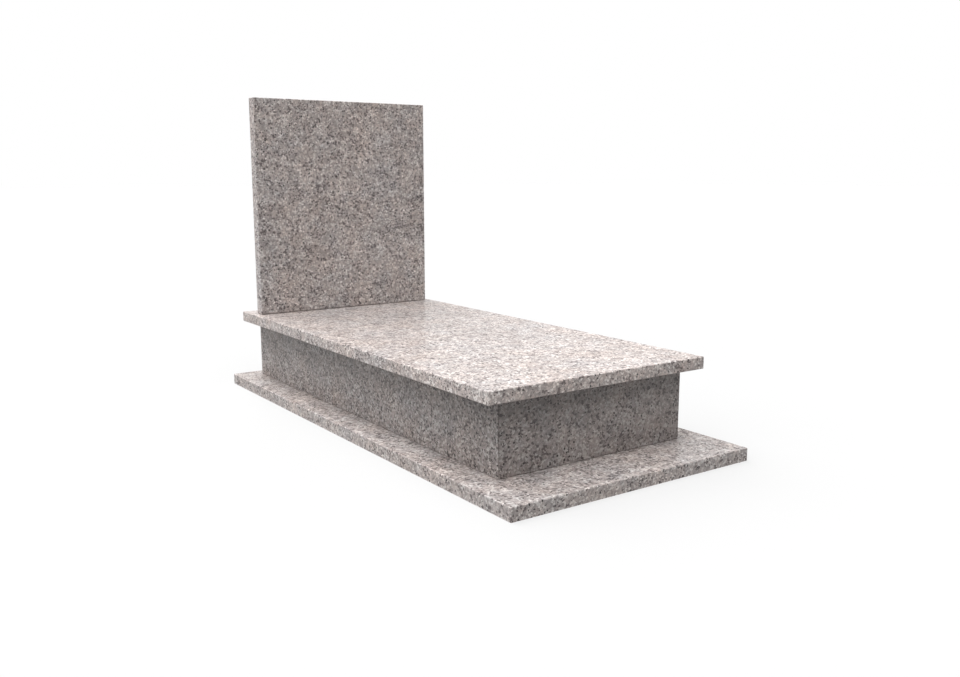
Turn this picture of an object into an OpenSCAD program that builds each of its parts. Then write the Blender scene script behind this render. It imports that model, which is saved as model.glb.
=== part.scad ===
// Single grave monument in polished granite.
//
// Four strips laid flat on the ground frame the grave. Four upright slabs, mitred at the
// corners, stand on them as a low box. A cover slab closes the box and carries an upright
// headstone, which two steel dowels hold in place.
//
// Origin: centre of the base, on the ground. +Z is up and +Y runs from foot to headstone.

/* [Base] */
// Width of the base across the grave
base_w = 940; // [880:10:1100]
// Length of the base along the grave
base_l = 2005; // [1950:5:2200]
// Thickness of the base strips
base_t = 42; // [30:1:60]
// How far the base strips reach inside the walls
base_lap = 15; // [12:1:60]

/* [Box] */
// Width over the side walls
box_w = 730; // [640:10:740]
// Length over the front and back walls
box_l = 1745; // [1700:5:1760]
// Height of the wall slabs
wall_h = 230; // [150:5:400]
// Thickness of the wall slabs
wall_t = 40; // [30:1:45]
// Distance from the base's front edge to the front wall
box_setback = 200; // [190:5:205]

/* [Cover] */
// Width of the cover slab
cover_w = 860; // [820:10:880]
// Length of the cover slab
cover_l = 1810; // [1790:5:1840]
// Thickness of the cover slab
cover_t = 40; // [36:1:60]
// Distance from the base's front edge to the cover's front edge
cover_setback = 160; // [150:5:165]

/* [Headstone] */
// Width of the headstone
headstone_w = 800; // [600:10:820]
// Height of the headstone slab
headstone_h = 882; // [500:1:1100]
// Thickness of the headstone
headstone_t = 50; // [40:1:80]
// Clear strip of cover behind the headstone
headstone_setback = 90; // [60:5:120]

/* [Joints and fixings] */
// Thickness of the adhesive bed under a slab
bed_t = 2; // [1:0.5:4]
// Width of an upright joint between two slabs
joint_w = 1.5; // [1:0.5:2.5]
// How far the joint filler lies behind the stone's face
joint_recess = 2; // [1:0.5:4]
// Bevel along the polished edges
arris = 2; // [2:0.5:4]
// Diameter of the headstone dowels
dowel_d = 12; // [8:1:16]
// Distance between the two dowels
dowel_spacing = 480; // [200:10:540]
// Leg of the steel angle inside each corner
angle_leg = 70; // [50:5:90]
// Height of the steel angle
angle_h = 60; // [40:5:100]
// Thickness of the steel angle
angle_t = 5; // [3:1:8]
// Screw hole in each leg of the angle
angle_hole_d = 9; // [6:1:12]

/* [Hidden] */
$fn = 48;
// Overshoot of a shape that cuts another
eps = 1;

// Heights at which the courses start
wall_z = base_t + bed_t;
cover_z = wall_z + wall_h + bed_t;
headstone_z = cover_z + cover_t + bed_t;

// Middle of each course along the grave
base_front_y = -base_l / 2;
box_y = base_front_y + box_setback + box_l / 2;
cover_y = base_front_y + cover_setback + cover_l / 2;
headstone_y = cover_y + cover_l / 2 - headstone_setback - headstone_t / 2;

// Each strip runs from the base's edge to a little inside the wall that stands on it
base_front_d = box_setback + wall_t + base_lap;
base_side_w = (base_w - box_w) / 2 + wall_t + base_lap;
base_back_d = base_l - box_setback - box_l + wall_t + base_lap;
side_strip_l = base_l - base_front_d - base_back_d - 2 * joint_w;
side_strip_y = base_front_y + base_front_d + joint_w + side_strip_l / 2;

// Outer and inner faces of the box walls
outer_x = box_w / 2;
outer_front_y = box_y - box_l / 2;
outer_back_y = box_y + box_l / 2;
inner_x = outer_x - wall_t;
inner_front_y = outer_front_y + wall_t;
inner_back_y = outer_back_y - wall_t;

// How far a mitre stops short of the corner, so that two of them leave one joint between them
mitre_gap = joint_w / sqrt(2);

// Dowel holes: blind in the cover and in the headstone, with adhesive all round the dowel
dowel_hole_d = dowel_d + 2;
dowel_hole_floor = 10;
dowel_in_cover = cover_t - dowel_hole_floor;
dowel_in_headstone = 50;
dowel_end_play = 2;

// Bend of the steel angle, its height in the box and the place of its screw holes
angle_inner_r = angle_t;
angle_outer_r = angle_inner_r + angle_t;
angle_z = wall_z + wall_h / 2;
angle_hole_at = angle_leg * 0.6;

granite = "#b3aaa7";
filler = "#8f8986";
steel = "#c3c6c9";

// Outline of a slab's section: a rectangle centred on the origin, bevelled on all corners
module bevelled_outline(a, b) {
    polygon([[-a / 2 + arris, -b / 2], [a / 2 - arris, -b / 2],
             [a / 2, -b / 2 + arris], [a / 2, b / 2 - arris],
             [a / 2 - arris, b / 2], [-a / 2 + arris, b / 2],
             [-a / 2, b / 2 - arris], [-a / 2, -b / 2 + arris]]);
}

// Slab centred on the origin, with the bevel along all twelve edges
module bevelled_slab(size) {
    intersection() {
        translate([0, 0, -size.z / 2])
            linear_extrude(size.z) bevelled_outline(size.x, size.y);
        rotate([90, 0, 0]) translate([0, 0, -size.y / 2])
            linear_extrude(size.y) bevelled_outline(size.x, size.z);
        rotate([90, 0, 90]) translate([0, 0, -size.x / 2])
            linear_extrude(size.x) bevelled_outline(size.y, size.z);
    }
}

// ---------- Base ----------

// Wedge that takes the bevel off one top edge of the base, along +X at the origin
module edge_bevel(length) {
    rotate([45, 0, 0])
        cube([length + 2 * eps, arris * sqrt(2), arris * sqrt(2)], center = true);
}

// Strip of the base with its outer top edge bevelled: outer edge on y = 0, inside towards +Y
module base_strip(length, depth) {
    difference() {
        translate([-length / 2, 0, 0]) cube([length, depth, base_t]);
        translate([0, 0, base_t]) edge_bevel(length);
    }
}

// End strip, which also takes the bevel on the base's two corners
module base_end_strip(depth) {
    color(granite) difference() {
        base_strip(base_w, depth);
        for (side = [-1, 1]) {
            translate([side * base_w / 2, depth / 2, base_t])
                rotate([0, 0, 90]) edge_bevel(depth);
            translate([side * base_w / 2, 0, base_t / 2])
                rotate([0, 90, 0]) edge_bevel(base_t);
        }
    }
}

module base_front_strip() {
    translate([0, base_front_y, 0]) base_end_strip(base_front_d);
}

module base_back_strip() {
    translate([0, -base_front_y, 0]) rotate([0, 0, 180]) base_end_strip(base_back_d);
}

module base_side_strip() {
    color(granite) base_strip(side_strip_l, base_side_w);
}

module base_left_strip() {
    translate([-base_w / 2, side_strip_y, 0]) rotate([0, 0, -90]) base_side_strip();
}

module base_right_strip() {
    translate([base_w / 2, side_strip_y, 0]) rotate([0, 0, 90]) base_side_strip();
}

// Filler between an end strip and a side strip, a little behind the stone's faces
module base_joint(side, y) {
    color(filler)
        translate([side > 0 ? base_w / 2 - base_side_w : -base_w / 2 + joint_recess, y, joint_recess])
            cube([base_side_w - joint_recess, joint_w, base_t - 2 * joint_recess]);
}

module base_joint_front_left() base_joint(-1, base_front_y + base_front_d);
module base_joint_front_right() base_joint(1, base_front_y + base_front_d);
module base_joint_back_left() base_joint(-1, -base_front_y - base_back_d - joint_w);
module base_joint_back_right() base_joint(1, -base_front_y - base_back_d - joint_w);

// ---------- Box ----------

// Plan of a wall: outer face on y = 0 and centred on x = 0, inside towards +Y, ends mitred at 45
// degrees. The arris where two walls meet is bevelled.
module wall_plan(length) {
    corner = length / 2;
    tip = (arris - mitre_gap) / 2;
    end = [[corner - arris, 0],
           [corner - arris + tip, tip],
           [corner - mitre_gap - wall_t, wall_t]];
    other_end = [for (i = [2:-1:0]) [-end[i].x, end[i].y]];
    polygon(concat(end, other_end));
}

// Plan of the adhesive bed above or below a wall, set back from both of its faces
module bed_plan(length) {
    corner = length / 2 - mitre_gap;
    near = joint_recess;
    far = wall_t - joint_recess;
    polygon([[near - corner, near], [corner - near, near],
             [corner - far, far], [far - corner, far]]);
}

// Places a piece drawn for the front wall on one of the four walls
module at_front() translate([0, outer_front_y, 0]) children();
module at_back() translate([0, outer_back_y, 0]) rotate([0, 0, 180]) children();
module at_left() translate([-outer_x, box_y, 0]) rotate([0, 0, -90]) children();
module at_right() translate([outer_x, box_y, 0]) rotate([0, 0, 90]) children();

module wall(length) {
    color(granite) translate([0, 0, wall_z]) linear_extrude(wall_h) wall_plan(length);
}

module bed(length, z) {
    color(filler) translate([0, 0, z]) linear_extrude(bed_t) bed_plan(length);
}

module front_wall() at_front() wall(box_w);
module back_wall() at_back() wall(box_w);
module left_wall() at_left() wall(box_l);
module right_wall() at_right() wall(box_l);

module front_wall_bed() at_front() bed(box_w, base_t);
module back_wall_bed() at_back() bed(box_w, base_t);
module left_wall_bed() at_left() bed(box_l, base_t);
module right_wall_bed() at_right() bed(box_l, base_t);

module front_cover_bed() at_front() bed(box_w, cover_z - bed_t);
module back_cover_bed() at_back() bed(box_w, cover_z - bed_t);
module left_cover_bed() at_left() bed(box_l, cover_z - bed_t);
module right_cover_bed() at_right() bed(box_l, cover_z - bed_t);

// Places a piece drawn with its corner at the origin, and its arms along +X and +Y
module at_corner(x, y, turn) translate([x, y, 0]) rotate([0, 0, turn]) children();

// Upright filler in a mitre, along the diagonal from the corner of the box
module wall_joint() {
    start = arris / sqrt(2) + joint_recess;
    end = wall_t * sqrt(2) - joint_recess;
    color(filler) rotate([0, 0, 45])
        translate([start, -joint_w / 2, base_t])
            cube([end - start, joint_w, wall_h + 2 * bed_t]);
}

module wall_joint_front_left() at_corner(-outer_x, outer_front_y, 0) wall_joint();
module wall_joint_front_right() at_corner(outer_x, outer_front_y, 90) wall_joint();
module wall_joint_back_right() at_corner(outer_x, outer_back_y, 180) wall_joint();
module wall_joint_back_left() at_corner(-outer_x, outer_back_y, 270) wall_joint();

// Section of the steel angle: two legs joined by a round bend
module angle_section() {
    translate([angle_outer_r, 0]) square([angle_leg - angle_outer_r, angle_t]);
    translate([0, angle_outer_r]) square([angle_t, angle_leg - angle_outer_r]);
    intersection() {
        square(angle_outer_r);
        translate([angle_outer_r, angle_outer_r]) difference() {
            circle(angle_outer_r);
            circle(angle_inner_r);
        }
    }
}

// Steel angle that ties two walls together, with a screw hole through each leg
module corner_angle() {
    color(steel) translate([0, 0, angle_z]) difference() {
        translate([0, 0, -angle_h / 2]) linear_extrude(angle_h) angle_section();
        translate([angle_hole_at, -eps, 0]) rotate([-90, 0, 0])
            cylinder(h = angle_t + 2 * eps, d = angle_hole_d);
        translate([-eps, angle_hole_at, 0]) rotate([0, 90, 0])
            cylinder(h = angle_t + 2 * eps, d = angle_hole_d);
    }
}

module corner_angle_front_left() at_corner(-inner_x, inner_front_y, 0) corner_angle();
module corner_angle_front_right() at_corner(inner_x, inner_front_y, 90) corner_angle();
module corner_angle_back_right() at_corner(inner_x, inner_back_y, 180) corner_angle();
module corner_angle_back_left() at_corner(-inner_x, inner_back_y, 270) corner_angle();

// ---------- Cover ----------

// Round hole on each dowel's axis, from height z upwards
module dowel_holes(z, depth) {
    for (side = [-1, 1])
        translate([side * dowel_spacing / 2, headstone_y, z])
            cylinder(h = depth, d = dowel_hole_d);
}

module cover_slab() {
    color(granite) difference() {
        translate([0, cover_y, cover_z + cover_t / 2])
            bevelled_slab([cover_w, cover_l, cover_t]);
        dowel_holes(cover_z + cover_t - dowel_in_cover, dowel_in_cover + eps);
    }
}

// ---------- Headstone ----------

module headstone_bed() {
    bed_l = headstone_w - 2 * joint_recess - 2 * arris;
    bed_d = headstone_t - 2 * joint_recess - 2 * arris;
    color(filler) difference() {
        translate([-bed_l / 2, headstone_y - bed_d / 2, headstone_z - bed_t])
            cube([bed_l, bed_d, bed_t]);
        dowel_holes(headstone_z - bed_t - eps, bed_t + 2 * eps);
    }
}

// The dowel stands on the bottom of its hole in the cover
module headstone_dowel(side) {
    length = dowel_in_cover + bed_t + dowel_in_headstone - dowel_end_play;
    color(steel)
        translate([side * dowel_spacing / 2, headstone_y, cover_z + cover_t - dowel_in_cover])
            cylinder(h = length, d = dowel_d);
}

module headstone_dowel_left() headstone_dowel(-1);
module headstone_dowel_right() headstone_dowel(1);

module headstone() {
    color(granite) difference() {
        translate([0, headstone_y, headstone_z + headstone_h / 2])
            bevelled_slab([headstone_w, headstone_t, headstone_h]);
        dowel_holes(headstone_z - eps, dowel_in_headstone + eps);
    }
}

base_front_strip();
base_back_strip();
base_left_strip();
base_right_strip();
base_joint_front_left();
base_joint_front_right();
base_joint_back_left();
base_joint_back_right();
front_wall_bed();
back_wall_bed();
left_wall_bed();
right_wall_bed();
front_wall();
back_wall();
left_wall();
right_wall();
wall_joint_front_left();
wall_joint_front_right();
wall_joint_back_left();
wall_joint_back_right();
corner_angle_front_left();
corner_angle_front_right();
corner_angle_back_left();
corner_angle_back_right();
front_cover_bed();
back_cover_bed();
left_cover_bed();
right_cover_bed();
cover_slab();
headstone_bed();
headstone_dowel_left();
headstone_dowel_right();
headstone();
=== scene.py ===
# %% [markdown]
# # Dressing a granite grave monument
#
# The monument is already built to size as a frame of separate slabs: a base of four strips, a low
# box of four mitred walls, a cover slab and an upright headstone. This lesson gives every piece
# the look of what it is made of, and sets up a plain studio to see it in.
#
# Nothing here moves or resizes a slab. Each one is already where it belongs, in metres, so the
# work is in the materials, in a few small fixings and in the light.

# %% Load the frame
import math

import bmesh
import bpy
from mathutils import Matrix, Vector


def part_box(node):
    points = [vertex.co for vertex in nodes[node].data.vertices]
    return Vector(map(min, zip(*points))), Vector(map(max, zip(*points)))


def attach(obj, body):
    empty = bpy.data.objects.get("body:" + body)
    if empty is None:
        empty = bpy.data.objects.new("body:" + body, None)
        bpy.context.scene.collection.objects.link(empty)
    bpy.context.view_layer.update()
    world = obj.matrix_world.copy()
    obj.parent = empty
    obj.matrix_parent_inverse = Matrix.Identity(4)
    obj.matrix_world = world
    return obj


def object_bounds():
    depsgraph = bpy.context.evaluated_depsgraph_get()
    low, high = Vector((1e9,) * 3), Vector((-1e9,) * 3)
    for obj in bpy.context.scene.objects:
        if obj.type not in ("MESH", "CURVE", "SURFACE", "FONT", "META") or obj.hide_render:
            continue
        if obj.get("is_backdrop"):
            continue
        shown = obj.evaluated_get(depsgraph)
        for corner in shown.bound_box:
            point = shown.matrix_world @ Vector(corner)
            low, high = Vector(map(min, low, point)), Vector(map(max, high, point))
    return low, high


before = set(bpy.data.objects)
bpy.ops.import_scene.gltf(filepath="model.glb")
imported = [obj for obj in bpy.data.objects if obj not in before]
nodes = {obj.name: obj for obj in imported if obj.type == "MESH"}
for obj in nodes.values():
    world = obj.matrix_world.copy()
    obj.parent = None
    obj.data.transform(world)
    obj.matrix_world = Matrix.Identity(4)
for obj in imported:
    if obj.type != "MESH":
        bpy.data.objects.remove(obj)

MM = 0.001
scene = bpy.context.scene
frame_low, frame_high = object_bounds()


def in_mm(vector):
    """A place or a size in millimetres, for printing."""
    return tuple(round(c / MM, 1) for c in vector)


print(f"{len(nodes)} pieces in the frame, {in_mm(frame_high - frame_low)} mm overall")

# %% [markdown]
# ## The camera
#
# The eye is a little under a metre above the ground, to the left of the grave's foot. With a
# 35 mm lens it is near enough for the slabs to taper towards the headstone, and the corners aren't
# stretched as they are by a wide angle. The camera is placed by where it stands from the nearest
# corner of the base, and then turned the way it looks.

# %% Camera
EYE_LEFT = 1.396      # metres to the left of the base's front left corner
EYE_BEFORE = 1.854    # in front of it
EYE_HEIGHT = 0.906    # above the ground
VIEW_AZIMUTH = math.radians(-34.98)    # 0 looks straight at the headstone's face
VIEW_ELEVATION = math.radians(10.14)   # how far the view tips down

eye = Vector((frame_low.x - EYE_LEFT, frame_low.y - EYE_BEFORE, EYE_HEIGHT))
camera_data = bpy.data.cameras.new("visitor_camera")
camera_data.lens = 35.0
camera_data.sensor_width = 36.0
camera = bpy.data.objects.new("visitor_camera", camera_data)
camera.location = eye
towards_eye = Vector((math.sin(VIEW_AZIMUTH) * math.cos(VIEW_ELEVATION),
                      -math.cos(VIEW_AZIMUTH) * math.cos(VIEW_ELEVATION),
                      math.sin(VIEW_ELEVATION)))
camera.rotation_mode = "QUATERNION"
camera.rotation_quaternion = (-towards_eye).to_track_quat("-Z", "Y")
scene.collection.objects.link(camera)
scene.camera = camera
scene.view_settings.view_transform = "Standard"
print(f"eye at {in_mm(eye)} mm, looking down by {math.degrees(VIEW_ELEVATION):.1f} degrees")

# %% [markdown]
# ## Two helpers
#
# Colours are easiest to pick as the hex codes of a colour chart, but shaders work in linear light.
# One function turns the first into the second. A second one adds a shader node, sets its sockets
# and joins its inputs, so that each material below reads as a short recipe.

# %% Helpers for materials
def linear(code):
    """A hex colour such as "#b3aaa7" as a linear RGBA tuple."""
    channels = [int(code[i:i + 2], 16) / 255 for i in (1, 3, 5)]
    return tuple(c / 12.92 if c <= 0.04045 else ((c + 0.055) / 1.055) ** 2.4 for c in channels) + (1,)


def add(tree, kind, inputs=None, stops=None, **settings):
    """Adds a node. An input that is an output socket is linked, any other is a value. Stops fill a ramp."""
    node = tree.nodes.new(kind)
    for name, value in settings.items():
        setattr(node, name, value)
    for name, value in (inputs or {}).items():
        if isinstance(value, bpy.types.NodeSocket):
            tree.links.new(value, node.inputs[name])
        else:
            node.inputs[name].default_value = value
    for number, (position, colour) in enumerate(stops or []):
        ramp = node.color_ramp.elements
        stop = ramp[number] if number < len(ramp) else ramp.new(position)
        stop.position = position
        stop.color = colour
    return node


def new_material(name):
    """An empty node material and its tree."""
    material = bpy.data.materials.new(name)
    material.use_nodes = True
    material.node_tree.nodes.clear()
    return material, material.node_tree


print(f"the mid grey #808080 is {linear('#808080')[0]:.3f} of white in linear light")

# %% [markdown]
# ## Granite: where the grains lie
#
# Granite is a mass of interlocking crystals. A 3D Voronoi texture is the closest match in Blender:
# it fills space with cells of one size, and a slab shows the cut through them on every face, so
# the grains run round an edge as they do in sawn stone. An image wrapped over the slab would show
# a seam there.
#
# Plain cells have straight sides. Real grains grew against each other, so the place that the
# texture is read at is first pushed about by a noise of about the grain's own size.

# %% Granite grain
GRAIN = 6.5 * MM        # a feldspar or quartz grain, across
GRAIN_WOBBLE = 6 * MM   # twice the furthest that a point is pushed along an axis


def bent_place(tree, shift):
    """The point on the slab, moved by a shift so that each block of stone has grains of its own."""
    place = add(tree, "ShaderNodeTexCoord")
    moved = add(tree, "ShaderNodeVectorMath", {0: place.outputs["Object"], 1: shift}, operation="ADD")
    noise = add(tree, "ShaderNodeTexNoise",
                {"Vector": moved.outputs[0], "Scale": 1 / GRAIN, "Detail": 2.0, "Roughness": 0.6})
    centred = add(tree, "ShaderNodeVectorMath", {0: noise.outputs["Color"], 1: (0.5, 0.5, 0.5)},
                  operation="SUBTRACT")
    return add(tree, "ShaderNodeVectorMath",
               {0: centred.outputs[0], 1: (GRAIN_WOBBLE,) * 3, 2: moved.outputs[0]},
               operation="MULTIPLY_ADD").outputs[0]


print(f"grains {GRAIN / MM:.1f} mm across")

# %% [markdown]
# ## Granite: the minerals
#
# This stone is a pink-grey granite. Seen close, it is a mix of four minerals: pale pink potassium
# feldspar, off-white plagioclase, smoky quartz, and grains darkened by fine mica. Each makes up its
# own share of the stone. A colour ramp whose steps are as wide as the shares turns an even random
# number into a mineral, so the shares are the only thing to set.
#
# The same steps pick how well each mineral takes a polish. Quartz comes up like glass. Feldspar
# splits in flat steps, so less of it does, and soft mica stays dull.

# %% Granite minerals
MINERALS = [
    # share, colour, how much of it comes up to a mirror
    (0.20, "#d8d1cd", 0.30),  # off-white plagioclase
    (0.36, "#bbb0ac", 0.28),  # pink feldspar
    (0.32, "#a29996", 0.45),  # smoky quartz
    (0.12, "#6d6463", 0.10),  # quartz with fine mica
]


def mineral_steps(values):
    """Ramp stops that give each mineral's value a step as wide as its share."""
    start = 0.0
    steps = []
    for (share, _, _), value in zip(MINERALS, values):
        steps.append((start, value))
        start += share
    return steps


print(f"minerals add up to {sum(share for share, _, _ in MINERALS):.2f} of the stone")

# %% [markdown]
# ## Granite: the grains
#
# Every Voronoi cell has a random colour of its own. Its red channel picks the mineral of the grain,
# and its green channel makes one grain a little lighter or darker than the next of the same kind.
#
# Minerals also gather. A slow noise leans the pick one way or the other, so that in patches a few
# centimetres across one mineral has the upper hand. Without it the slab looks like even sand.

# %% Granite grains
GRAIN_JITTER = 0.12   # lighter or darker from grain to grain
GATHERING = 36 * MM   # across a patch where one mineral has the upper hand
GATHERED = 0.15       # how far such a patch moves the shares
RIM_WIDTH = 0.10      # of the joint between two grains, as a share of a grain
NOISE_LOW = 0.3       # nearly all of a noise lies above this
NOISE_HIGH = 0.7      # and below this


def grains(tree, place):
    """Colour and polish of the grains, and how near a point is to a grain's edge."""
    cell = add(tree, "ShaderNodeTexVoronoi", {"Vector": place, "Scale": 1 / GRAIN})
    edge = add(tree, "ShaderNodeTexVoronoi", {"Vector": place, "Scale": 1 / GRAIN},
               feature="DISTANCE_TO_EDGE")
    pick = add(tree, "ShaderNodeSeparateColor", {0: cell.outputs["Color"]})
    patch = add(tree, "ShaderNodeTexNoise", {"Vector": place, "Scale": 1 / GATHERING, "Detail": 1.0})
    lean = add(tree, "ShaderNodeMapRange",
               {0: patch.outputs[0], 1: NOISE_LOW, 2: NOISE_HIGH, 3: -GATHERED, 4: GATHERED})
    leaning = add(tree, "ShaderNodeMath", {0: pick.outputs[0], 1: lean.outputs[0]}, operation="ADD")
    colour = add(tree, "ShaderNodeValToRGB", {0: leaning.outputs[0]},
                 mineral_steps([linear(code) for _, code, _ in MINERALS]))
    colour.color_ramp.interpolation = "CONSTANT"
    polish = add(tree, "ShaderNodeValToRGB", {0: leaning.outputs[0]},
                 mineral_steps([(mirror, mirror, mirror, 1) for _, _, mirror in MINERALS]))
    polish.color_ramp.interpolation = "CONSTANT"
    jitter = add(tree, "ShaderNodeMapRange",
                 {0: pick.outputs[1], 3: 1 - GRAIN_JITTER, 4: 1 + GRAIN_JITTER})
    jittered = add(tree, "ShaderNodeVectorMath", {0: colour.outputs[0], "Scale": jitter.outputs[0]},
                   operation="SCALE")
    rim = add(tree, "ShaderNodeMapRange", {0: edge.outputs["Distance"], 2: RIM_WIDTH, 3: 1.0, 4: 0.0},
              interpolation_type="SMOOTHSTEP")
    return jittered.outputs[0], polish.outputs[0], rim.outputs[0]


print(f"minerals gather in patches {GATHERING / MM:.0f} mm across")

# %% [markdown]
# ## Granite: mica flecks
#
# The dark dots that make a stone read as granite are flakes of biotite mica, 2 to 7 mm across.
# They sit apart from each other, with some in clusters. A second, coarser Voronoi gives one
# possible fleck per cell. Its distance output is a soft ball round the cell's centre, and a cut
# at a radius makes the fleck. The radius is random from cell to cell, and in more than half of
# the cells it is below zero, so that no fleck is there. A slow noise makes it larger in places,
# which gives the clusters.

# %% Granite flecks
FLECK_SPACING = 9 * MM    # between the centres of two possible flecks
FLECK_RADIUS = 3.6 * MM   # of the largest flecks outside a cluster
FLECK_SHARE = 0.48        # of the cells that hold a fleck
FLECK_BLUR = 0.07         # how soft a fleck's edge is, as a share of the spacing
CLUSTER = 60 * MM         # across a cluster of flecks
CLUSTER_SWING = 0.9 * MM  # what a cluster adds to a fleck's radius, and a gap takes off
CLUSTER_EDGE = 0.15       # how far the noise is from its middle where the swing is full


def flecks(tree, place):
    """1 on a mica fleck and 0 off it."""
    cell = add(tree, "ShaderNodeTexVoronoi", {"Vector": place, "Scale": 1 / FLECK_SPACING})
    pick = add(tree, "ShaderNodeSeparateColor", {0: cell.outputs["Color"]})
    radius = add(tree, "ShaderNodeMapRange",
                 {0: pick.outputs[0], 1: 1 - FLECK_SHARE, 2: 1.0, 3: 0.0,
                  4: FLECK_RADIUS / FLECK_SPACING}, clamp=False)
    cluster = add(tree, "ShaderNodeTexNoise", {"Vector": place, "Scale": 1 / CLUSTER, "Detail": 1.0})
    swing = add(tree, "ShaderNodeMapRange",
                {0: cluster.outputs[0], 1: 0.5 - CLUSTER_EDGE, 2: 0.5 + CLUSTER_EDGE,
                 3: -CLUSTER_SWING / FLECK_SPACING, 4: CLUSTER_SWING / FLECK_SPACING})
    reach = add(tree, "ShaderNodeMath", {0: radius.outputs[0], 1: swing.outputs[0]}, operation="ADD")
    inside = add(tree, "ShaderNodeMath", {0: reach.outputs[0], 1: cell.outputs["Distance"]},
                 operation="SUBTRACT")
    return add(tree, "ShaderNodeMapRange", {0: inside.outputs[0], 2: FLECK_BLUR},
               interpolation_type="SMOOTHSTEP").outputs[0]


print(f"a fleck in {FLECK_SHARE:.0%} of the {FLECK_SPACING / MM:.0f} mm cells")

# %% [markdown]
# ## Granite: polished and sawn faces
#
# A mason polishes the faces that show. The underside of a slab and the inside of the box are left
# as the gang saw made them: pale, matt, and faintly ribbed. Two materials on one slab would need
# its faces sorted by hand. Here the shader sorts them itself: a face is sawn where it looks
# down, or where it lies inside the box.
#
# The limits of the inside come from the inner faces of the four walls and the underside of the
# cover. Like the two painted shades further on, this needs to know how far a point lies from the
# middle of something, so that has a helper.

# %% Where the stone is sawn
MARGIN = 0.5 * MM   # past a limit, so that the face on it is safely taken in
OPEN_BELOW = 1.0    # metres, because the box has no floor and the hollow goes on down
DOWNWARDS = -0.5    # a face is an underside when its normal points lower than this

hollow_low = Vector((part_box("left_wall")[1].x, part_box("front_wall")[1].y, frame_low.z - OPEN_BELOW))
hollow_high = Vector((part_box("right_wall")[0].x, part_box("back_wall")[0].y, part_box("cover_slab")[0].z))
hollow_middle = (hollow_low + hollow_high) / 2
hollow_half = (hollow_high - hollow_low) / 2 + Vector((MARGIN,) * 3)
print(f"the box is hollow from {in_mm(hollow_low.xy)} to {in_mm(hollow_high.xy)} mm")


def distance_from(tree, middle):
    """How far the point lies from a middle, along each axis."""
    point = add(tree, "ShaderNodeTexCoord")
    offset = add(tree, "ShaderNodeVectorMath", {0: point.outputs["Object"], 1: middle},
                 operation="SUBTRACT")
    return add(tree, "ShaderNodeVectorMath", {0: offset.outputs[0]}, operation="ABSOLUTE").outputs[0]


def sawn_mask(tree):
    """1 on a face as the saw left it, 0 on a polished face."""
    share = add(tree, "ShaderNodeVectorMath", {0: distance_from(tree, hollow_middle), 1: hollow_half},
                operation="DIVIDE")
    axis = add(tree, "ShaderNodeSeparateXYZ", {0: share.outputs[0]})
    across = add(tree, "ShaderNodeMath", {0: axis.outputs[0], 1: axis.outputs[1]}, operation="MAXIMUM")
    largest = add(tree, "ShaderNodeMath", {0: across.outputs[0], 1: axis.outputs[2]}, operation="MAXIMUM")
    inside = add(tree, "ShaderNodeMath", {0: largest.outputs[0], 1: 1.0}, operation="LESS_THAN")
    surface = add(tree, "ShaderNodeTexCoord")
    facing = add(tree, "ShaderNodeSeparateXYZ", {0: surface.outputs["Normal"]})
    under = add(tree, "ShaderNodeMath", {0: facing.outputs[2], 1: DOWNWARDS}, operation="LESS_THAN")
    return add(tree, "ShaderNodeMath", {0: inside.outputs[0], 1: under.outputs[0]},
               operation="MAXIMUM").outputs[0]


# %% [markdown]
# ## Granite: painted shade under the overhang
#
# The stone close under the cover's overhang is darkened in its colour. This is painted shade,
# standing in for the shade that the overhang casts there. How deep under the cover a point lies
# depends on a slope: how far in it lies from the cover's edge, over how far it lies below the
# cover. The painted shade is darkest right under the cover and fades down the walls. The shader
# works the slope out from the cover's own box.

# %% Where the shade under the overhang is painted
OVERHANG_SHADE = 0.28       # how much darker the painted shade makes the stone deepest under the cover
UNSHADED_SLOPE = 0.1      # the slope up to which no shade is painted
FULL_SHADE_SLOPE = 0.9   # the slope from which the painted shade is full

cover_low, cover_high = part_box("cover_slab")


def overhang_shade_tone(tree):
    """1 in the open, and less where the shade under the overhang is painted in."""
    size = distance_from(tree, (cover_low + cover_high) / 2)
    inset = add(tree, "ShaderNodeVectorMath", {0: (cover_high - cover_low) / 2, 1: size},
                operation="SUBTRACT")
    axis = add(tree, "ShaderNodeSeparateXYZ", {0: inset.outputs[0]})
    nearest = add(tree, "ShaderNodeMath", {0: axis.outputs[0], 1: axis.outputs[1]}, operation="MINIMUM")
    point = add(tree, "ShaderNodeTexCoord")
    height = add(tree, "ShaderNodeSeparateXYZ", {0: point.outputs["Object"]})
    drop = add(tree, "ShaderNodeMath", {0: cover_low.z, 1: height.outputs[2]}, operation="SUBTRACT")
    slope = add(tree, "ShaderNodeMath", {0: nearest.outputs[0], 1: drop.outputs[0]}, operation="DIVIDE")
    return add(tree, "ShaderNodeMapRange",
               {0: slope.outputs[0], 1: UNSHADED_SLOPE, 2: FULL_SHADE_SLOPE, 3: 1.0, 4: 1 - OVERHANG_SHADE}).outputs[0]


print(f"the film darkens the stone by up to {OVERHANG_SHADE:.0%}")

# %% [markdown]
# ## Granite: painted shade at the foot of the walls
#
# The top of the base is darkened in its colour in the corner between the base and the walls. This
# is painted shade, standing in for the shade that the walls and the cover cast there, and it fades
# to nothing a hand's breadth out. How far out a point lies comes from the outer faces of the walls,
# and the painted shade is kept to the height of the base's top, so that the walls aren't darkened.

# %% Where the shade at the foot of the walls is painted
FOOT_SHADE = 0.16            # how much darker the painted shade makes the base right at the walls
FOOT_SHADE_REACH = 95 * MM   # how far out from the walls it ends

walls_low = Vector((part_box("left_wall")[0].x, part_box("front_wall")[0].y, 0.0))
walls_high = Vector((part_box("right_wall")[1].x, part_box("back_wall")[1].y, 0.0))
base_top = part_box("base_front_strip")[1].z


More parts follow.
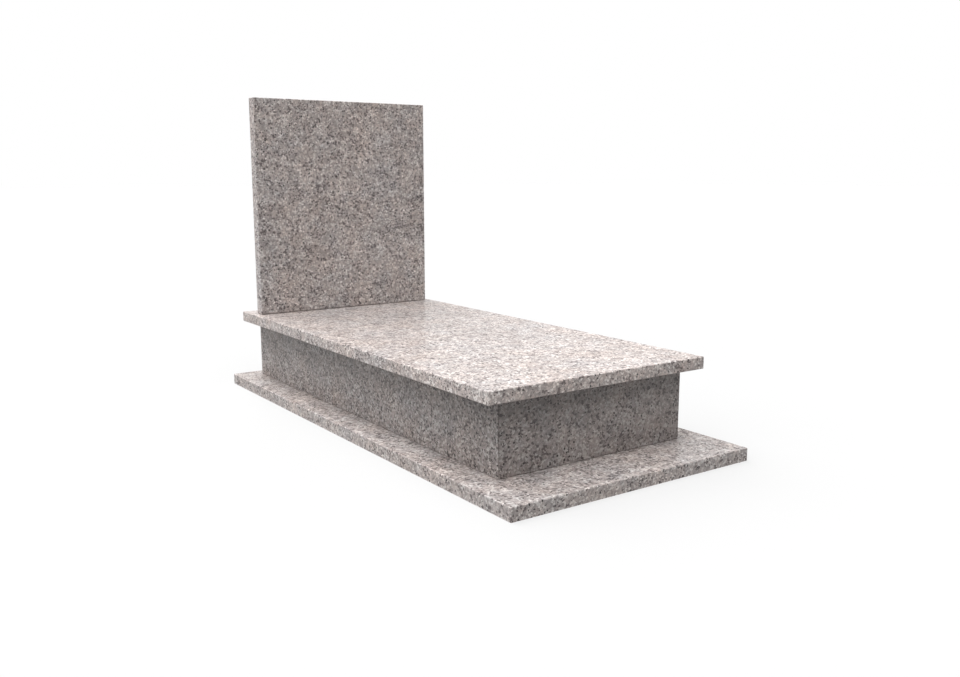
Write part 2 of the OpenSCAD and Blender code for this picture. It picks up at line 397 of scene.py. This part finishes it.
def foot_shade_tone(tree):
    """1 away from the walls, and less where shade is painted on the base close to them."""
    size = distance_from(tree, (walls_low + walls_high) / 2)
    outset = add(tree, "ShaderNodeVectorMath", {0: size, 1: (walls_high - walls_low) / 2},
                 operation="SUBTRACT")
    axis = add(tree, "ShaderNodeSeparateXYZ", {0: outset.outputs[0]})
    nearest = add(tree, "ShaderNodeMath", {0: axis.outputs[0], 1: axis.outputs[1]}, operation="MAXIMUM")
    shade_fade = add(tree, "ShaderNodeMapRange",
                   {0: nearest.outputs[0], 2: FOOT_SHADE_REACH, 3: 1 - FOOT_SHADE, 4: 1.0})
    point = add(tree, "ShaderNodeTexCoord")
    height = add(tree, "ShaderNodeSeparateXYZ", {0: point.outputs["Object"]})
    on_base = add(tree, "ShaderNodeMath", {0: height.outputs[2], 1: base_top + MARGIN},
                  operation="LESS_THAN")
    return add(tree, "ShaderNodeMapRange",
               {0: on_base.outputs[0], 3: 1.0, 4: shade_fade.outputs[0]}).outputs[0]


print(f"silt up to {FOOT_SHADE_REACH / MM:.0f} mm from the walls, on stone below {base_top / MM:.0f} mm")

# %% [markdown]
# ## Granite: its tone
#
# One colour for each mineral would look printed. A fine noise breaks up each grain, as cleavage
# lines and small flaws do, and a slow one makes the slab a little lighter here and darker there.
# Each is a factor that the colour is multiplied by, and so are the block's own tone and the two
# painted shades, so that any of them can be changed on its own.

# %% Granite tone
FLAW = 2.6 * MM      # cleavage lines and small flaws inside a grain
FLAW_SWING = 0.18    # how much lighter or darker they are
DRIFT_SWING = 0.15   # how much lighter or darker the slab gets in places


def stone_tone(tree, place, drift, block_tone):
    """How light the stone is. Drift is the slow noise, and the block's tone is one number."""
    flaw = add(tree, "ShaderNodeTexNoise", {"Vector": place, "Scale": 1 / FLAW, "Detail": 2.0})
    flaw_tone = add(tree, "ShaderNodeMapRange",
                    {0: flaw.outputs[0], 1: NOISE_LOW, 2: NOISE_HIGH,
                     3: 1 - FLAW_SWING, 4: 1 + FLAW_SWING})
    drift_tone = add(tree, "ShaderNodeMapRange",
                     {0: drift, 1: NOISE_LOW, 2: NOISE_HIGH,
                      3: (1 - DRIFT_SWING) * block_tone, 4: (1 + DRIFT_SWING) * block_tone})
    product = flaw_tone.outputs[0]
    # The last two factors are painted shade, under the overhang and at the foot of the walls.
    for factor in (drift_tone.outputs[0], overhang_shade_tone(tree), foot_shade_tone(tree)):
        product = add(tree, "ShaderNodeMath", {0: product, 1: factor}, operation="MULTIPLY").outputs[0]
    return product


print(f"tone swings by {FLAW_SWING:.0%} in a grain and by {DRIFT_SWING:.0%} over a slab")

# %% [markdown]
# ## Granite: its colour
#
# The colour starts from the mineral's. The slow noise also lets the hue drift, a little greyer
# here and a little pinker there. The tone comes over that, the joints between grains are darker,
# and the mica flecks lie on top. On a sawn face the crushed grains look paler and more alike, so
# a pale grey takes over half of the colour there.

# %% Granite colour
DRIFT = 140 * MM              # how slowly the tone and the hue change over a slab
GREYER = (0.96, 1.00, 1.03, 1)
PINKER = (1.04, 1.00, 0.97, 1)
RIM_TONE = 0.80               # of the joint between two grains
MICA = "#2b2626"
SAWN_GREY = "#b9b1ad"
SAWN_VEIL = 0.5               # how much of the colour that grey takes over


def stone_colour(tree, place, grain_colour, rim, fleck, sawn, block_tone):
    """The colour of the grains with their tones, joints and flecks, and paler where sawn."""
    drift = add(tree, "ShaderNodeTexNoise",
                {"Vector": place, "Scale": 1 / DRIFT, "Detail": 3.0, "Roughness": 0.8})
    drift_parts = add(tree, "ShaderNodeSeparateColor", {0: drift.outputs["Color"]})
    hue = add(tree, "ShaderNodeValToRGB", {0: drift_parts.outputs[1]},
              [(NOISE_LOW, GREYER), (NOISE_HIGH, PINKER)])
    tinted = add(tree, "ShaderNodeVectorMath", {0: grain_colour, 1: hue.outputs[0]}, operation="MULTIPLY")
    tone = stone_tone(tree, place, drift.outputs[0], block_tone)
    toned = add(tree, "ShaderNodeVectorMath", {0: tinted.outputs[0], "Scale": tone}, operation="SCALE")
    rim_tone = add(tree, "ShaderNodeMapRange", {0: rim, 3: 1.0, 4: RIM_TONE})
    rimmed = add(tree, "ShaderNodeVectorMath", {0: toned.outputs[0], "Scale": rim_tone.outputs[0]},
                 operation="SCALE")
    flecked = add(tree, "ShaderNodeMix", {0: fleck, 6: rimmed.outputs[0], 7: linear(MICA)},
                  data_type="RGBA")
    veil = add(tree, "ShaderNodeMath", {0: sawn, 1: SAWN_VEIL}, operation="MULTIPLY")
    return add(tree, "ShaderNodeMix", {0: veil.outputs[0], 6: flecked.outputs[2], 7: linear(SAWN_GREY)},
               data_type="RGBA").outputs[2]


print(f"mica {MICA}, sawn grey {SAWN_GREY}")

# %% [markdown]
# ## Granite: its polish
#
# A ground slab is matt. Polishing closes its surface grain by grain until it mirrors, so the
# polish is made as what it is: a clear skin over ground stone, which is the Coat of Blender's
# Principled shader. Its weight is the share of each mineral that has come up to a mirror. Making
# the whole stone smooth instead would mirror the headstone in the cover as strongly as wet stone
# does. The joints between grains and the soft mica hold little polish, and a sawn face has none.

# %% Granite polish
RIM_POLISH = 0.05
MICA_POLISH = 0.10


def stone_shine(tree, polish, rim, fleck, sawn):
    """How much of the stone mirrors."""
    rim_shine = add(tree, "ShaderNodeMapRange", {0: rim, 3: polish, 4: RIM_POLISH})
    mica_shine = add(tree, "ShaderNodeMapRange", {0: fleck, 3: rim_shine.outputs[0], 4: MICA_POLISH})
    return add(tree, "ShaderNodeMapRange", {0: sawn, 3: mica_shine.outputs[0], 4: 0.0}).outputs[0]


print(f"polish: {RIM_POLISH:.0%} of a mirror between the grains, {MICA_POLISH:.0%} on mica")

# %% [markdown]
# ## Granite: its relief
#
# Mica tears out under the polishing heads and leaves pits a few hundredths of a millimetre deep.
# The gang saw leaves ribs a few millimetres apart, which a wave texture gives. Both are too
# shallow to be worth modelling, so one bump makes them: pits on polished faces, ribs on sawn ones.
#
# The ribs run at a slant, from a diagonal wave. Its angle in radians is 10 times the sum of the
# coordinates. Straight across the ribs on a flat face that is 10 times the root of 2 for each unit,
# and the scale is worked out from it.

# %% Granite relief
PIT_DEPTH = 0.03 * MM
SAW_DEPTH = 0.15 * MM
SAW_PITCH = 3 * MM    # between two ribs
SAW_SCALE = 2 * math.pi / (10 * math.sqrt(2) * SAW_PITCH)


def stone_relief(tree, fleck, sawn):
    """The normal of the surface with its pits or ribs."""
    point = add(tree, "ShaderNodeTexCoord")
    ribs = add(tree, "ShaderNodeTexWave",
               {"Vector": point.outputs["Object"], "Scale": SAW_SCALE, "Distortion": 0.8, "Detail": 1.0},
               bands_direction="DIAGONAL")
    pits = add(tree, "ShaderNodeMapRange", {0: fleck, 3: 0.0, 4: -PIT_DEPTH / SAW_DEPTH})
    height = add(tree, "ShaderNodeMapRange", {0: sawn, 3: pits.outputs[0], 4: ribs.outputs[0]})
    return add(tree, "ShaderNodeBump", {"Height": height.outputs[0], "Distance": SAW_DEPTH}).outputs[0]


print(f"pits {PIT_DEPTH / MM:.2f} mm deep, saw ribs {SAW_PITCH / MM:.0f} mm apart")

# %% [markdown]
# ## Granite: the whole recipe
#
# The parts now come together in one shader. Quartz and feldspar bend light like glass, with an
# index of refraction near 1.54, and nothing in them is metal. So the skin mirrors the room at a
# low angle, and the stone's own colour shows when it is seen straight on.

# %% Granite recipe
STONE_IOR = 1.54
SAWN_ROUGHNESS = 0.85
GROUND_ROUGHNESS = 0.6    # the ground stone under its polish
POLISH_ROUGHNESS = 0.09


def granite(name, shift, block_tone):
    """Granite of one block. The tone makes a whole block lighter or darker."""
    material, tree = new_material(name)
    place = bent_place(tree, shift)
    grain_colour, polish, rim = grains(tree, place)
    fleck = flecks(tree, place)
    sawn = sawn_mask(tree)
    dull = add(tree, "ShaderNodeMapRange", {0: sawn, 3: GROUND_ROUGHNESS, 4: SAWN_ROUGHNESS})
    stone = add(tree, "ShaderNodeBsdfPrincipled",
                {"Base Color": stone_colour(tree, place, grain_colour, rim, fleck, sawn, block_tone),
                 "Roughness": dull.outputs[0], "IOR": STONE_IOR,
                 "Normal": stone_relief(tree, fleck, sawn),
                 "Coat Weight": stone_shine(tree, polish, rim, fleck, sawn),
                 "Coat Roughness": POLISH_ROUGHNESS, "Coat IOR": STONE_IOR})
    add(tree, "ShaderNodeOutputMaterial", {"Surface": stone.outputs[0]})
    return material


print(f"granite: polish of roughness {POLISH_ROUGHNESS} over ground stone of {GROUND_ROUGHNESS}")

# %% [markdown]
# ## Which slab comes from which block
#
# A mason's yard cuts the thick headstone, the cover, the walls and the base strips from different
# blocks of the same quarry. Each group has its own shift, so that its grains differ, and its own
# tone. The walls' much darker tone is painted shade, standing in for the shade under the cover.

# %% Give the slabs their stone
WALL_NAMES = ["front_wall", "back_wall", "left_wall", "right_wall"]
BASE_NAMES = ["base_front_strip", "base_back_strip", "base_left_strip", "base_right_strip"]
BLOCKS = [
    # material, shift in metres, tone, slabs
    ("granite_headstone", (3.1, 0.7, 1.9), 1.08, ["headstone"]),
    ("granite_cover", (0.4, 5.3, 2.2), 1.05, ["cover_slab"]),
    # the walls' low tone is painted shade for the shade under the cover's overhang
    ("granite_walls_painted_shade", (7.6, 2.8, 4.5), 0.69, WALL_NAMES),
    ("granite_base", (1.3, 9.2, 6.7), 0.94, BASE_NAMES),
]


def dress(names, material):
    """Gives CAD pieces one material each."""
    for name in names:
        nodes[name].data.materials.clear()
        nodes[name].data.materials.append(material)


for block_name, shift, block_tone, slab_names in BLOCKS:
    dress(slab_names, granite(block_name, shift, block_tone))
    print(f"{block_name}: {', '.join(slab_names)}")

# %% [markdown]
# ## Adhesive and joint filler
#
# The walls, the cover and the headstone are bedded on a mineral adhesive, mixed to the colour of
# the stone, and the joints are filled with it. It is a fine mortar: matt, darker than the pale
# blocks and much like the walls with their painted shade, and speckled with sand of about half a
# millimetre. Two noises added together make it, one as fine as the sand and one as wide as the smears of
# the trowel.

# %% Joint filler
SAND = 0.5 * MM
SAND_WEIGHT = 0.6    # how much the sand shows, against 1 for the smears
SMEAR = 30 * MM      # across a smear of the trowel
GRIT = 0.1 * MM      # how far the sand stands out
FILLER_STOPS = [(0.55, linear("#7f7672")), (1.05, linear("#a39a95"))]
FILLER_ROUGHNESS = 0.85
FILLER_IOR = 1.5


def joint_filler():
    """A stone-coloured mineral adhesive, wiped smooth."""
    material, tree = new_material("stone_filler")
    point = add(tree, "ShaderNodeTexCoord")
    sand = add(tree, "ShaderNodeTexNoise",
               {"Vector": point.outputs["Object"], "Scale": 1 / SAND, "Detail": 3.0, "Roughness": 0.7})
    smear = add(tree, "ShaderNodeTexNoise",
                {"Vector": point.outputs["Object"], "Scale": 1 / SMEAR, "Detail": 2.0})
    blend = add(tree, "ShaderNodeMath", {0: sand.outputs[0], 1: SAND_WEIGHT, 2: smear.outputs[0]},
                operation="MULTIPLY_ADD")
    shade = add(tree, "ShaderNodeValToRGB", {0: blend.outputs[0]}, FILLER_STOPS)
    grit = add(tree, "ShaderNodeBump", {"Height": sand.outputs[0], "Distance": GRIT})
    mortar = add(tree, "ShaderNodeBsdfPrincipled",
                 {"Base Color": shade.outputs[0], "Roughness": FILLER_ROUGHNESS, "IOR": FILLER_IOR,
                  "Normal": grit.outputs[0]})
    add(tree, "ShaderNodeOutputMaterial", {"Surface": mortar.outputs[0]})
    return material


filler_names = [name for name in nodes if name.endswith("_bed") or "_joint_" in name]
dress(filler_names, joint_filler())
print(f"{len(filler_names)} beds and joints of filler")

# %% [markdown]
# ## Steel angles and dowels
#
# The box is held together inside by four stainless angles, bent from strip with a mill finish,
# and two dowels of the same steel hold the headstone upright.
#
# Rolling leaves fine scratches along the strip, a fraction of a millimetre apart. A noise that is
# squeezed across the strip and drawn out along it gives them, and it moves the roughness more
# than the colour, because a scratch changes how steel shines and not what it is.

# %% Mill-finish steel
SCRATCH = 0.4 * MM          # between two rolling marks
SCRATCH_LENGTH = 25 * MM
SCRATCH_DEPTH = 0.01 * MM
STEEL_DARK = "#b4b4b2"
STEEL_PALE = "#cfcecb"
STEEL_SMOOTH = 0.26         # the lowest roughness on the strip
STEEL_ROUGH = 0.42          # and the highest


def mill_steel():
    """Stainless strip as it comes from the mill, with rolling marks that run level."""
    material, tree = new_material("stainless_mill_finish")
    point = add(tree, "ShaderNodeTexCoord")
    drawn = add(tree, "ShaderNodeVectorMath",
                {0: point.outputs["Object"], 1: (1 / SCRATCH_LENGTH, 1 / SCRATCH_LENGTH, 1 / SCRATCH)},
                operation="MULTIPLY")
    marks = add(tree, "ShaderNodeTexNoise", {"Vector": drawn.outputs[0], "Scale": 1.0, "Detail": 3.0})
    shade = add(tree, "ShaderNodeValToRGB", {0: marks.outputs[0]},
                [(NOISE_LOW, linear(STEEL_DARK)), (NOISE_HIGH, linear(STEEL_PALE))])
    dull = add(tree, "ShaderNodeMapRange",
               {0: marks.outputs[0], 1: NOISE_LOW, 2: NOISE_HIGH, 3: STEEL_SMOOTH, 4: STEEL_ROUGH})
    scratch = add(tree, "ShaderNodeBump", {"Height": marks.outputs[0], "Distance": SCRATCH_DEPTH})
    steel = add(tree, "ShaderNodeBsdfPrincipled",
                {"Base Color": shade.outputs[0], "Metallic": 1.0, "Roughness": dull.outputs[0],
                 "Normal": scratch.outputs[0]})
    add(tree, "ShaderNodeOutputMaterial", {"Surface": steel.outputs[0]})
    return material


steel_names = [name for name in nodes if "angle" in name or "dowel" in name]
stainless = mill_steel()
dress(steel_names, stainless)
print(f"{len(steel_names)} steel pieces: {', '.join(sorted(steel_names))}")

# %% [markdown]
# ## A hexagon screw: its sizes
#
# Each leg of an angle is held to its wall by one hexagon screw in a plug, with a washer under the
# head. They are too small for the frame, so they are made here, in the usual sizes of an 8 mm
# screw. Every height is counted from the stone that the angle lies on.

# %% Screw sizes
ANGLE_THICKNESS = 5 * MM
SHANK_RADIUS = 4 * MM
WASHER_RADIUS = 8 * MM
WASHER_THICKNESS = 1.6 * MM
WASHER_EASING = 0.3 * MM
HEAD_ACROSS_FLATS = 13 * MM
HEAD_HEIGHT = 5.3 * MM
CHAMFER = 0.8 * MM      # in from the head's corners, and half as much down
washer_foot = ANGLE_THICKNESS
head_foot = washer_foot + WASHER_THICKNESS
head_top = head_foot + HEAD_HEIGHT
print(f"a screw stands {head_top / MM:.1f} mm off the stone")

# %% [markdown]
# ## A hexagon screw: its shape
#
# All three parts of a screw are prisms with a profile: a plain shank that passes through the hole
# in the angle with a little play, a washer with its edges eased, and a head whose top is chamfered
# at a little under 30 degrees. The thread inside the wall is left out. Blender's own cylinder has
# no profile and would need its edges cut afterwards. So one function stacks rings of points and
# skins them, and the head is the prism with six sides.

# %% Screw
SHANK_SIDES = 24
WASHER_SIDES = 32
HEAD_SIDES = 6


def ring(mesh, radius, height, sides):
    """A closed loop of points round the Z axis."""
    turns = [2 * math.pi * i / sides for i in range(sides)]
    return [mesh.verts.new((radius * math.cos(turn), radius * math.sin(turn), height)) for turn in turns]


def prism(mesh, profile, sides):
    """A closed solid through rings of the given radii and heights, from the bottom up."""
    loops = [ring(mesh, radius, height, sides) for radius, height in profile]
    for lower, upper in zip(loops, loops[1:]):
        for i in range(sides):
            j = (i + 1) % sides
            mesh.faces.new((lower[i], lower[j], upper[j], upper[i]))
    mesh.faces.new(reversed(loops[0]))
    mesh.faces.new(loops[-1])


def add_screw(mesh, placement):
    """A hexagon screw with its washer. It stands on Z, with the stone at Z = 0."""
    before = set(mesh.verts)
    eased = WASHER_RADIUS - WASHER_EASING
    corner = HEAD_ACROSS_FLATS / math.sqrt(3)
    prism(mesh, [(SHANK_RADIUS, 0.0), (SHANK_RADIUS, washer_foot)], SHANK_SIDES)
    prism(mesh, [(eased, washer_foot), (WASHER_RADIUS, washer_foot + WASHER_EASING),
                 (WASHER_RADIUS, head_foot - WASHER_EASING), (eased, head_foot)], WASHER_SIDES)
    prism(mesh, [(corner, head_foot), (corner, head_top - CHAMFER / 2), (corner - CHAMFER, head_top)],
          HEAD_SIDES)
    bmesh.ops.transform(mesh, matrix=placement, verts=[v for v in mesh.verts if v not in before])


sample = bmesh.new()
add_screw(sample, Matrix())
print(f"a screw has {len(sample.faces)} faces")
sample.free()

# %% [markdown]
# ## Screws in the angles
#
# Both screws of an angle are one mesh. Where the holes are is worked out from the angle itself:
# they are at its middle height, one in each leg, and a fixed distance along the wall from its
# outer corner. Each screw points out of the stone into the hollow, along the other leg.

# %% Screws on the angles
HOLE_FROM_CORNER = 42 * MM

for angle_name in [name for name in steel_names if "angle" in name]:
    low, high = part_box(angle_name)
    middle = (low + high) / 2
    towards = hollow_middle - middle
    inward_x = Vector((math.copysign(1, towards.x), 0, 0))
    inward_y = Vector((0, math.copysign(1, towards.y), 0))
    corner_point = Vector((low.x if towards.x > 0 else high.x, low.y if towards.y > 0 else high.y,
                           middle.z))
    screws = bmesh.new()
    for along, out in ((inward_x, inward_y), (inward_y, inward_x)):
        spot = Matrix.Translation(corner_point + along * HOLE_FROM_CORNER)
        add_screw(screws, spot @ out.to_track_quat("Z", "Y").to_matrix().to_4x4())
    screw_mesh = bpy.data.meshes.new(angle_name.replace("angle", "screws"))
    screws.to_mesh(screw_mesh)
    screws.free()
    screw_mesh.materials.append(stainless)
    piece = bpy.data.objects.new(screw_mesh.name, screw_mesh)
    scene.collection.objects.link(piece)
    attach(piece, "root")
    print(f"{piece.name}: two screws near {in_mm(corner_point)} mm")

# %% [markdown]
# ## The studio: a white room
#
# The monument stands on a white floor in a white room. What the eye sees of the room, directly or
# in the polish, is plain white. The Light Path node tells those rays from the ones that carry
# light, which get only a low, even fill, so that no side of the stone is ever black. A ray that
# has left a matt surface carries light, even if it meets gloss on its way, so the Diffuse Depth
# sorts it with the light.

# %% Room
WHITE = linear("#ffffff")
ROOM_FILL = 0.15     # how bright the white is to the rays that carry light

world = bpy.data.worlds.new("white_room")
world.use_nodes = True
scene.world = world
room = world.node_tree
room.nodes.clear()


def seen_by_eye(tree):
    """1 on a ray that the eye sees, straight or through gloss or glass, and 0 on a light ray."""
    path = add(tree, "ShaderNodeLightPath")
    seen = add(tree, "ShaderNodeMath",
               {0: path.outputs["Is Camera Ray"], 1: path.outputs["Is Glossy Ray"]}, operation="MAXIMUM")
    clear = add(tree, "ShaderNodeMath", {0: seen.outputs[0], 1: path.outputs["Is Transmission Ray"]},
                operation="MAXIMUM")
    unscattered = add(tree, "ShaderNodeMath", {0: path.outputs["Diffuse Depth"], 1: 0.5},
                      operation="LESS_THAN")
    return add(tree, "ShaderNodeMath", {0: clear.outputs[0], 1: unscattered.outputs[0]},
               operation="MULTIPLY").outputs[0]


fill = add(room, "ShaderNodeBackground", {"Color": WHITE, "Strength": ROOM_FILL})
backdrop = add(room, "ShaderNodeBackground", {"Color": WHITE, "Strength": 1.0})
both = add(room, "ShaderNodeMixShader",
           {0: seen_by_eye(room), 1: fill.outputs[0], 2: backdrop.outputs[0]})
add(room, "ShaderNodeOutputWorld", {"Surface": both.outputs[0]})
print(f"room: white to the eye, a fill of {ROOM_FILL} to the stone")

# %% [markdown]
# ## The studio: four soft lights
#
# Sun lamps with a wide angle stand for large softboxes far away. They light the whole monument
# evenly and their shadows have no hard edge. The strongest comes from behind, over the headstone.
# It lights the tops and leaves the front faces in shade, which is what sets the slabs apart from
# each other. A weak one straight above lights the tops but not what the cover overhangs. One high
# at the front left lights the faces towards the eye, and a low one from the left lifts the long
# edges.
#
# They are left out of the reflections, because the polish should show the white room.

# %% Soft lights
SOFTBOX_ANGLE = math.radians(50)
LAMP_DISTANCE = 4.0   # metres, only to keep the lamps in sight: a sun's distance changes nothing
SOFT_LIGHTS = [
    # name, bearing it shines from (0 is +X, 90 is +Y), height in degrees, strength
    ("back_light", 96, 48, 2.65),
    ("top_light", 90, 90, 0.55),
    ("front_light", 240, 68, 2.05),
    ("left_light", 180, 34, 1.15),
]

for light_name, bearing, elevation, strength in SOFT_LIGHTS:
    lamp = bpy.data.lights.new(light_name, "SUN")
    lamp.energy = strength
    lamp.angle = SOFTBOX_ANGLE
    around = math.radians(bearing)
    up = math.radians(elevation)
    source = Vector((math.cos(around) * math.cos(up), math.sin(around) * math.cos(up), math.sin(up)))
    holder = bpy.data.objects.new(light_name, lamp)
    holder.location = source * LAMP_DISTANCE
    holder.rotation_mode = "QUATERNION"
    holder.rotation_quaternion = source.to_track_quat("Z", "Y")
    holder.visible_glossy = False
    scene.collection.objects.link(holder)
    print(f"{light_name}: from {bearing} degrees, {elevation} degrees up")

# %% [markdown]
# ## The studio: the floor
#
# To the eye the floor has to be as white as the room, so that no horizon shows, and still carry a
# faint shadow. It is made of two parts that add up to white: a glow that nothing can shade, and a
# matt share that the monument's shadow darkens. To a light ray it is a softly glowing sheet of
# paper, which lights the stone from below.

# %% Floor
FLOOR_HALF = 60.0      # metres from its middle to its edge
FLOOR_WHITE = 1.005    # what the two parts add up to, just over white
FLOOR_MATT = 0.2       # how much of the light that falls on it the matt share sends to the eye
PAPER_GLOW = 0.41      # what the floor sends back to the stone

floor_light = ROOM_FILL + sum(strength / math.pi * math.sin(math.radians(elevation))
                              for _, _, elevation, strength in SOFT_LIGHTS)
floor_glow = FLOOR_WHITE - FLOOR_MATT * floor_light
print(f"light on the floor {floor_light:.2f}, so its glow is {floor_glow:.2f}")

floor_mesh = bpy.data.meshes.new("white_floor")
corners = [(FLOOR_HALF * x, FLOOR_HALF * y, 0) for x, y in ((-1, -1), (1, -1), (1, 1), (-1, 1))]
floor_mesh.from_pydata(corners, [], [(0, 1, 2, 3)])
floor = bpy.data.objects.new("white_floor", floor_mesh)
scene.collection.objects.link(floor)
floor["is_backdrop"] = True

floor_paint, tree = new_material("white_floor_paper")
matt = add(tree, "ShaderNodeBsdfDiffuse", {"Color": (FLOOR_MATT,) * 3 + (1,)})
glow = add(tree, "ShaderNodeEmission", {"Color": WHITE, "Strength": floor_glow})
eye_floor = add(tree, "ShaderNodeAddShader", {0: matt.outputs[0], 1: glow.outputs[0]})
paper = add(tree, "ShaderNodeEmission", {"Color": WHITE, "Strength": PAPER_GLOW})
both = add(tree, "ShaderNodeMixShader",
           {0: seen_by_eye(tree), 1: paper.outputs[0], 2: eye_floor.outputs[0]})
add(tree, "ShaderNodeOutputMaterial", {"Surface": both.outputs[0]})
floor_mesh.materials.append(floor_paint)

# %% [markdown]
# ## Sizes
#
# The finished model's box is printed beside the frame's box, so that the two can be compared.
# The finished model may not be larger than the frame.

# %% Sizes for the record
low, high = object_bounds()
print(f"frame {in_mm(frame_high - frame_low)} mm, finished {in_mm(high - low)} mm")
